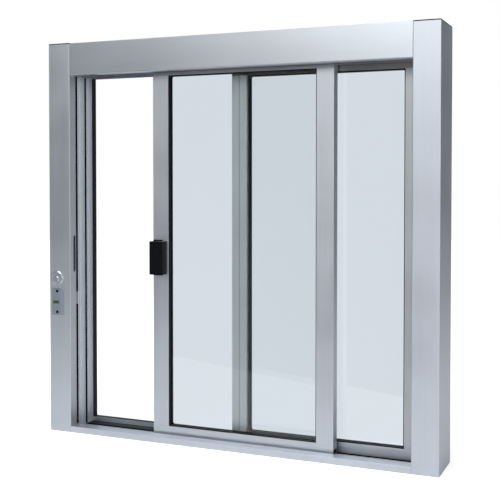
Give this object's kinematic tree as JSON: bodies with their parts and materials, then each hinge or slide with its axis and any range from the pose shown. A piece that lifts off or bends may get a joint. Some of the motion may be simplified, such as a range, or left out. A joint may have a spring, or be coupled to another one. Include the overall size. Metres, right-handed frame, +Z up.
{
  "type": "sliding service window",
  "caption": "Horizontal sliding service window in a deep extruded aluminium frame, with a sliding glazed sash standing half open beside a fixed glazed panel, a pull handle and a jamb lock.",
  "frame": {"origin": "middle of the sill's underside, half way through the frame's depth", "axes": "+X to the right seen from the service side, +Y from the service side to the far side, +Z up"},
  "size_m": [0.914, 0.1175, 0.903],
  "materials": {
    "frame_aluminium": "clear satin anodised, fine brushed grain",
    "panel_aluminium": "clear satin anodised, fine brushed grain",
    "glass": "clear",
    "gasket_black": "matte extruded",
    "pile_black": "dense brush pile",
    "nylon_black": "moulded",
    "handle_black": "fine moulded texture",
    "lock_chrome": "satin chrome",
    "plate_steel": "brushed",
    "lamp_green": "clear lens",
    "wheel_steel": "turned",
    "cap_grey": "moulded"
  },
  "bodies": {
    "root": {"left_jamb": "frame_aluminium", "right_jamb": "frame_aluminium", "head": "frame_aluminium", "sill": "frame_aluminium", "left_jamb_cap": "cap_grey", "right_jamb_cap": "cap_grey", "left_front_pile": "pile_black", "left_middle_pile": "pile_black", "left_rear_seal": "gasket_black", "right_front_pile": "pile_black", "right_middle_pile": "pile_black", "right_rear_seal": "gasket_black", "sill_pile": "pile_black", "sill_pad": "gasket_black", "sill_rear_seal": "gasket_black", "head_rear_seal": "gasket_black", "head_front_pile": "pile_black", "head_middle_pile": "pile_black", "latch_keeper": "plate_steel", "sash_lead_stile": "panel_aluminium", "sash_trail_stile": "panel_aluminium", "sash_top_rail": "panel_aluminium", "sash_bottom_rail": "panel_aluminium", "sash_glass": "glass", "sash_gasket": "gasket_black", "sash_corner_keys": "panel_aluminium", "sash_left_roller_block": "nylon_black", "sash_right_roller_block": "nylon_black", "sash_left_wheel": "wheel_steel", "sash_right_wheel": "wheel_steel", "pull_handle": "handle_black", "fixed_meeting_stile": "panel_aluminium", "fixed_jamb_stile": "panel_aluminium", "fixed_top_rail": "panel_aluminium", "fixed_bottom_rail": "panel_aluminium", "fixed_glass": "glass", "fixed_gasket": "gasket_black", "fixed_corner_keys": "panel_aluminium", "lock_collar": "lock_chrome", "lock_cylinder": "lock_chrome", "lock_plug": "lock_chrome", "control_plate": "plate_steel", "status_lamp": "lamp_green"}
  },
  "joints": []
}
